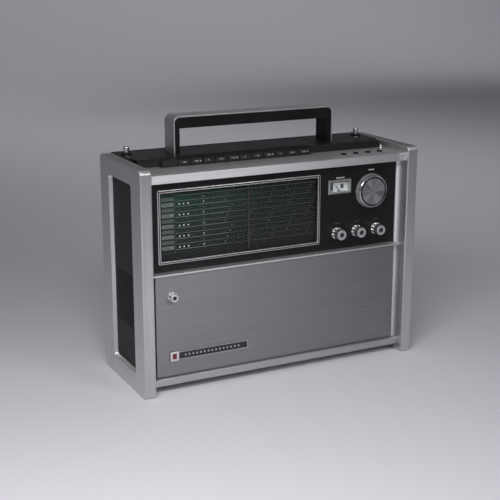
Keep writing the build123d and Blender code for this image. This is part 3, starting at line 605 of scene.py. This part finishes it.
# ---------------------------------------------------------------- finishes onto the frame's nodes
band_keys = [f"band_key_{number}" for number in range(1, 12)]
function_buttons = [f"function_button_{number}" for number in range(1, 5)]
finishes = {
    "top_rail": rail_aluminium, "divider_ledge": rail_aluminium, "base_tray": tray_aluminium,
    "dial_panel": panel_black, "dial_bezel": bezel_chrome, "dial_glass": clear_window,
    "dial_scale": scale_plate, "meter_case": meter_trim, "meter_glass": meter_window,
    "meter_needle": pointer_lacquer, "deck": deck_black, "inner_panel": panel_black,
    "rear_cover": rear_plastic, "case_screws": plated_steel, "chassis": plated_steel,
    "tuning_gang": plated_steel, "dial_cord": braided_cord, "dial_pointer": pointer_lacquer,
    "dial_drum": drum_plastic, "tuning_knob": spun_aluminium, "tuning_shaft": plated_steel,
    "control_pots": pot_casing, "volume_knob": fluted_metal, "bass_knob": fluted_metal,
    "treble_knob": fluted_metal, "light_button": chrome, "door": door_aluminium,
    "door_knob": fluted_metal, "door_badge": black_enamel_and_painted_shade, "handle_shell": handle_aluminium,
    "handle_grip": grip_black,
}
for side in ("left", "right"):
    finishes["end_frame_" + side] = frame_aluminium
    finishes["end_grille_" + side] = grille_paint
    finishes["side_trim_" + side] = side_trim
    finishes["speaker_" + side] = speaker_paper
    finishes["antenna_tube_" + side] = deck_black
    finishes["antenna_mid_" + side] = chrome
    finishes["antenna_rod_" + side] = chrome
for name in band_keys + function_buttons:
    finishes[name] = key_black
for name, node in nodes.items():
    for holder in node.material_slots:
        holder.material = finishes[name]

# ---------------------------------------------------------------- dial and panel printing
PRINT_INKS = [ink_pale, ink_grey, ink_dim]
PALE, GREY, DIM, DARK = range(4)
PROUD = 0.04  # how far print stands off the surface that it is on


def make_dial_print():
    """Ten scales with their name plates, lines, ticks and plain numbers."""
    rows, pitch, first = 10, 6.67, 238.4
    line_x0, line_x1 = -137.0, 57.0
    ticks, figure_height = 16, 2.3
    span = line_x1 - line_x0
    face = low_high("dial_scale")[0].y - PROUD
    whole = bmesh.new()
    for row in range(rows):
        z = first - pitch * row
        strong = row % 2 == 1
        mark(whole, -155.4, -139.8, z - 2.1, z + 2.1, face, GREY if strong else DIM)
        for i in range(4 + row % 3):
            x = -153.2 + 2.5 * i
            mark(whole, x, x + 1.6, z - 0.8, z + 0.8, face - 0.03, DARK)
        low = z - 3.1
        for share, end, ink in ((0.0, 0.36, GREY), (0.36, 0.72, DIM), (0.72, 1.0, DIM)):
            thick = (0.6 if strong else 0.4) * (1.0 - 0.45 * share)
            mark(whole, line_x0 + span * share, line_x0 + span * end, low, low + thick, face, ink)
        for i in range(ticks + 1):
            x = line_x0 + span * i / ticks
            tall = 1.1 if i % 4 == 0 else 0.6
            mark(whole, x - 0.08, x + 0.08, z - 2.8, z - 2.8 + tall, face, DIM)
        start, step = (54, 8) if row == 0 else (2 * row + 1, row + 1)
        for i in range(6):
            uneven = 0.016 * ((row * 3 + i * 5) % 4) * (i > 0)
            x = line_x0 + span * (0.19 + 0.15 * i + uneven)
            clear = i < 2 or (i * 3 + row) % 5 == 0
            ink = PALE if i == 0 and strong else GREY if clear else DIM
            figures(whole, start + step * i, upright_facing(x, face, z), figure_height, ink)
        if strong:
            for x in (-133.0, -127.5, -121.5):
                mark(whole, x, x + 1.7, z - 0.7, z + 0.8, face - 0.02, PALE)
    top = first + pitch
    mark(whole, line_x0, line_x1, top - 3.2, top - 2.65, face, GREY)
    for i in range(11):
        x = line_x0 + span * i / 10
        mark(whole, x - 0.15, x + 0.15, top - 2.7, top - 0.9, face, GREY)
        if 0 < i < 10:
            figures(whole, i, upright_facing(x, face, top + 0.8), figure_height, GREY)
    border(whole, -158.4, -137.9, 171.5, 245.0, 0.35, face - 0.02, face + 0.02, 0.3, DIM)
    finish_piece("dial_print", whole, PRINT_INKS + [ink_dark], "cabinet")


def make_bezel_groove():
    """Black band laid into the groove of the window frame: painted shade in the groove."""
    inset, width = 0.95, 1.5
    low, high = low_high("dial_bezel")
    whole = bmesh.new()
    border(whole, low.x + inset, high.x - inset, low.z + inset, high.z - inset, width,
           low.y - 0.03, low.y + 0.7, 0.7)
    finish_piece("bezel_groove_shade", whole, [black_enamel_and_painted_shade], "cabinet")


def make_panel_print():
    """Label bars over the meter and the knobs, each a row of short dashes, and ticks round the
    small knobs."""
    small_knobs = (85.0, 114.9, 144.8)
    tick_circle, tick_width, tick_height = 9.6, 0.35, 1.2
    face = low_high("dial_panel")[0].y - PROUD
    whole = bmesh.new()
    bars = [(89.6, 245.2, 12.0, 1.3, PALE), (136.2, 251.8, 8.6, 1.5, PALE)]
    bars += [(x + 1.0, 185.4, 8.0, 1.1, DIM) for x in small_knobs]
    for x, z, width, height, ink in bars:
        count = round(width / 1.25)
        for i in range(count):
            a = x - width / 2 + width * i / count
            mark(whole, a, a + width / count * 0.78, z - height / 2, z + height / 2, face, ink)
    for x in small_knobs:
        for i in range(11):
            turn = Matrix.Rotation(math.radians(150 - 30 * i), 4, "Z")
            patch(whole, upright_facing(x, face, 172.7) @ turn @ at(0, tick_circle, 0),
                  tick_width, tick_height, DIM)
    finish_piece("panel_print", whole, PRINT_INKS, "cabinet")


def make_meter_card():
    """Card of the level meter: pale field, dark zones, arc ticks and plain numbers."""
    card, dark, grey = range(3)
    front, back = -44.95, -44.65
    whole = bmesh.new()
    block(whole, (74.0, front, 227.2), (102.0, back, 240.4), 0.08, 1, card)
    face = front - 0.03
    mark(whole, 75.2, 79.6, 228.6, 239.0, face, dark)
    mark(whole, 90.8, 95.4, 230.8, 236.4, face, dark)
    mark(whole, 74.4, 101.6, 239.2, 240.2, face, grey)
    for i in range(13):
        x = 81.0 + 1.55 * i
        mark(whole, x - 0.12, x + 0.12, 238.2, 239.6 if i % 3 == 0 else 239.0, face, dark)
    for i, x in enumerate((81.4, 86.0, 98.6)):
        figures(whole, 5 * i, upright_facing(x, face - 0.01, 235.6), 2.0, dark)
    finish_piece("meter_card", whole, [ink_card, ink_dark, ink_grey], "cabinet")


# ---------------------------------------------------------------- knob trim
def make_knob_caps():
    """Black centre caps, domed, set into the recess of each fluted knob."""
    shank = 2.2
    for name, body, radius in (("volume_knob", "volume", 3.2), ("bass_knob", "bass", 3.2),
                               ("treble_knob", "treble", 3.2), ("door_knob", "front_door", 2.6)):
        low, high = low_high(name)
        whole = bmesh.new()
        dome = [(radius, 0.0), (radius, 0.12), (radius - 0.2, 0.24), (radius * 0.5, 0.4),
                (0.0, 0.46)]
        turned(whole, [(shank, -0.6), (shank, 0.0)] + dome,
               upright_facing((low.x + high.x) / 2, low.y, (low.z + high.z) / 2), 32)
        finish_piece(name + "_cap", whole, [black_enamel_and_painted_shade], body)


def make_tuning_trim():
    """Black lacquer in the groove of the tuning knob."""
    inside, outside, deep, flush = 17.75, 18.85, -0.74, -0.3
    low, high = low_high("tuning_knob")
    whole = bmesh.new()
    turned(whole, [(inside, deep), (inside, flush), (outside, flush), (outside, deep),
                   (inside, deep)],
           upright_facing((low.x + high.x) / 2, low.y, (low.z + high.z) / 2), 96)
    finish_piece("tuning_knob_groove", whole, [black_enamel_and_painted_shade], "tuning")


# ---------------------------------------------------------------- badge on the door
def make_badge():
    """Plain badge: bright plate with a dark red square, black strip with an edge and dashes."""
    bright, red, pale = range(3)
    low, high = low_high("door_badge")
    split = low.x + 11.5
    middle = (low.z + high.z) / 2
    face = low.y
    whole = bmesh.new()
    block(whole, (low.x + 0.2, face - 0.25, low.z + 0.2),
          (split - 0.3, face + 0.05, high.z - 0.2), 0.12, 2, bright)
    block(whole, (low.x + 2.9, face - 0.4, low.z + 2.6),
          (split - 3.0, face - 0.2, high.z - 2.6), 0.08, 1, red)
    border(whole, split, high.x - 0.1, middle - 4.9, middle + 4.9, 0.5, face + 0.15, face + 0.45,
           0.3, bright)
    dashes, pitch = 15, 5.2
    for i in range(dashes):
        x = split + 8.0 + pitch * i
        block(whole, (x, face + 0.28, middle - 1.2), (x + 2.0, face + 0.45, middle + 1.2), 0.1, 1,
              pale)
    finish_piece("badge_trim", whole, [polished_trim, enamel_red, ink_mark], "front_door")


# ---------------------------------------------------------------- top of the set
def make_key_marks():
    """Small pale marks and a plain number on the sloping front of each band key."""
    front_low, slope_depth, slope_ends = 273.0, 1.8, 1.8
    for number, name in enumerate(band_keys, 1):
        low, high = low_high(name)
        front_high = high.z - slope_ends
        lean = math.atan2(slope_depth, front_high - front_low)
        middle = (at((low.x + high.x) / 2, low.y + slope_depth / 2, (front_low + front_high) / 2)
                  @ Matrix.Rotation(math.pi / 2 - lean, 4, "X") @ at(0, 0, 0.03))
        whole = bmesh.new()
        for i in range(1 + (number * 7) % 3):
            wide = 0.9 + 0.4 * ((number + i) % 3)
            patch(whole, middle @ at(-0.2 + 2.6 * i, 0.3, 0), wide, 1.8, i % 2)
        figures(whole, number, middle @ at(-3.4, 0.3, 0), 2.8, 1)
        finish_piece(name + "_marks", whole, [ink_mark, ink_grey], name)


def make_button_rings():
    """Bright washers round the push buttons, let down on the strip."""
    top = low_high("top_rail")[1].z
    washer = [(3.6, 0.0), (3.6, 0.25), (3.8, 0.4), (4.15, 0.35), (4.35, 0.0), (3.6, 0.0)]
    collar = [(2.25, 0.0), (2.25, 0.6), (2.6, 0.9), (3.4, 0.7), (3.8, 0.0), (2.25, 0.0)]
    whole = bmesh.new()
    for name in function_buttons + ["light_button"]:
        low, high = low_high(name)
        turned(whole, collar if name == "light_button" else washer,
               at((low.x + high.x) / 2, (low.y + high.y) / 2, top), 40)
    finish_piece("button_rings", whole, [ring_metal], "cabinet")


def make_strip_print():
    """Small dark marks in front of the push buttons."""
    top = low_high("top_rail")[1].z + 0.03
    whole = bmesh.new()
    for name in function_buttons:
        low, high = low_high(name)
        x = (low.x + high.x) / 2
        for i in range(4):
            patch(whole, at(x - 2.8 + 1.8 * i, -45.8, top), 1.2, 1.2)
    finish_piece("strip_print", whole, [ink_dark], "cabinet")


# ---------------------------------------------------------------- behind the door
def make_inner_chart():
    """Ruled chart with plain numbers on the raised field behind the door."""
    grey, pale = range(2)
    rows, columns = 8, 7
    field = -41.0 - PROUD
    x0, x1, z0, z1 = 57.0, 147.0, 55.0, 113.0
    whole = bmesh.new()
    border(whole, x0, x1, z0, z1, 0.5, field - 0.02, field + 0.02, 0.5, grey)
    for row in range(1, rows):
        z = z0 + (z1 - z0) * row / rows
        mark(whole, x0 + 1, x1 - 1, z - 0.1, z + 0.1, field, grey)
    heights = [z1 - (z1 - z0) * (row + 0.5) / rows for row in range(rows)]
    for column in range(1, columns):
        x = x0 + (x1 - x0) * column / columns
        mark(whole, x - 0.1, x + 0.1, z0 + 1, z1 - 1, field, grey)
        for row, z in enumerate(heights):
            figures(whole, (column * 2 + row * 3) % 24 + 1,
                    upright_facing(x + 6.4, field - 0.01, z), 2.6, pale)
    for z in heights:
        for i in range(3):
            mark(whole, x0 + 2.6 + 2.7 * i, x0 + 4.4 + 2.7 * i, z - 0.9, z + 0.9, field, grey)
    finish_piece("inner_chart", whole, [ink_grey, ink_pale], "cabinet")


def make_hatch_details():
    """Grip ridges on the battery hatch latch behind the door."""
    pitch = 3.6
    whole = bmesh.new()
    for i in range(7):
        x = -56.5 + pitch * i
        block(whole, (x, -42.35, 118.8), (x + 1.6, -41.95, 122.2), 0.15)
    finish_piece("hatch_ridges", whole, [deck_black], "cabinet")


# ---------------------------------------------------------------- back of the set
def make_rear_details():
    """Socket rims, inlet pins, latch of the battery lid and small printed marks."""
    pale, plastic = 1, 2
    facing_back = Matrix.Rotation(-math.pi / 2, 4, "X")
    rim = [(3.05, -1.0), (3.05, 0.4), (3.4, 0.75), (4.6, 0.6), (5.0, 0.0), (3.05, -1.0)]
    pin = [(1.4, -0.2), (1.4, 1.0), (1.1, 1.4), (0.0, 1.5)]
    rear = low_high("rear_cover")[1].y
    whole = bmesh.new()
    for x in (-144.2, -122.2, -100.2):
        turned(whole, rim, at(x, rear, 90) @ facing_back, 40)
        for i in range(3):
            mark(whole, x - 3.2 + 2.3 * i, x - 1.6 + 2.3 * i, 98.0, 99.4, rear + PROUD, pale, True)
    for x in (-141.0, -129.5):
        turned(whole, pin, at(x, rear - 1.6, 46) @ facing_back, 24)
    block(whole, (39.0, rear - 0.85, 98.0), (51.0, rear - 0.1, 104.0), 0.3, 2, plastic)
    for i in range(5):
        x = 40.4 + 2.1 * i
        block(whole, (x, rear - 0.3, 98.8), (x + 1.1, rear - 0.02, 103.2), 0.1, 1, plastic)
    for row in range(4):
        z = 84 - 5 * row
        for i in range(9 - row % 2):
            x = 60 + 6.2 * i
            mark(whole, x, x + 4.6, z, z + 1.3, rear - 0.76, pale, True)
    finish_piece("rear_fittings", whole, [chrome, ink_mark, rear_plastic], "cabinet")


make_dial_print()
make_bezel_groove()
make_panel_print()
make_meter_card()
make_knob_caps()
make_tuning_trim()
make_badge()
make_key_marks()
make_button_rings()
make_strip_print()
make_inner_chart()
make_hatch_details()
make_rear_details()


# ---------------------------------------------------------------- floor and light
def make_floor():
    """Pale floor that sweeps up into a plain backdrop; its lengths are metres."""
    half_width, front, bend, bend_radius, rise = 12.0, -12.0, 3.2, 1.4, 3.0
    material, tree, shader, where = start_material("studio_floor", specular_ior_level=0.15,
                                                   roughness=0.75)
    cloud = noise(tree, where, 1.2, 2.0)
    tree.links.new(blend_of(tree, cloud, (0.70, 0.676, 0.735), (0.74, 0.716, 0.775)),
                   shader.inputs["Base Color"])
    sweep = bmesh.new()
    ends = [sweep.verts.new((x, front, 0.0)) for x in (-half_width, half_width)]
    run = bmesh.ops.extrude_edge_only(sweep, edges=[sweep.edges.new(ends)])["geom"]
    bmesh.ops.translate(sweep, vec=(0, bend - front, 0), verts=points_of(run))
    last = [edge for edge in edges_of(run) if all(abs(v.co.y - bend) < 1e-6 for v in edge.verts)]
    bent = bmesh.ops.spin(sweep, geom=last + list(last[0].verts), cent=(0, bend, bend_radius),
                          axis=(1, 0, 0), angle=math.pi / 2, steps=16)["geom_last"]
    wall = bmesh.ops.extrude_edge_only(sweep, edges=edges_of(bent))["geom"]
    bmesh.ops.translate(sweep, vec=(0, 0, rise), verts=points_of(wall))
    bmesh.ops.remove_doubles(sweep, verts=sweep.verts, dist=1e-6)
    for face in sweep.faces:
        face.smooth = True
    mesh = bpy.data.meshes.new("floor")
    sweep.to_mesh(mesh)
    sweep.free()
    mesh.materials.append(material)
    floor = bpy.data.objects.new("floor", mesh)
    scene.collection.objects.link(floor)


def softbox(name, place, aim, size, power, fan=180):
    """Large soft lamp at a place, turned towards its aim; fan is the spread of its light."""
    data = bpy.data.lights.new(name, "AREA")
    data.shape = "RECTANGLE"
    data.size, data.size_y = size
    data.energy = power
    data.spread = math.radians(fan)
    lamp = bpy.data.objects.new(name, data)
    lamp.location = place
    lamp.rotation_mode = "QUATERNION"
    lamp.rotation_quaternion = (Vector(aim) - Vector(place)).to_track_quat("-Z", "Y")
    scene.collection.objects.link(lamp)


def set_light():
    """Soft light from the front left and overhead, and a wash over the floor and backdrop."""
    world = bpy.data.worlds.new("studio")
    world.use_nodes = True
    room = world.node_tree.nodes["Background"]
    room.inputs["Color"].default_value = (0.90, 0.90, 0.92, 1.0)
    room.inputs["Strength"].default_value = 0.15
    scene.world = world
    softbox("key_overhead", place=(-0.54, -0.73, 0.84), aim=(-0.52, -0.71, 0.0),
            size=(0.6, 0.4), power=10.8)
    softbox("front_right", place=(0.42, -1.25, 0.80), aim=(0.0, -0.06, 0.20),
            size=(0.5, 0.35), power=0.46, fan=60)
    softbox("floor_wash", place=(0.5, 1.6, 1.9), aim=(0.6, 1.65, 0.0),
            size=(3.0, 1.0), power=3.6, fan=75)
    softbox("back_wash", place=(2.0, 2.6, 1.8), aim=(2.2, 4.4, 0.2),
            size=(4.4, 0.8), power=9.5, fan=120)
    scene.view_settings.view_transform = "Standard"


make_floor()
set_light()
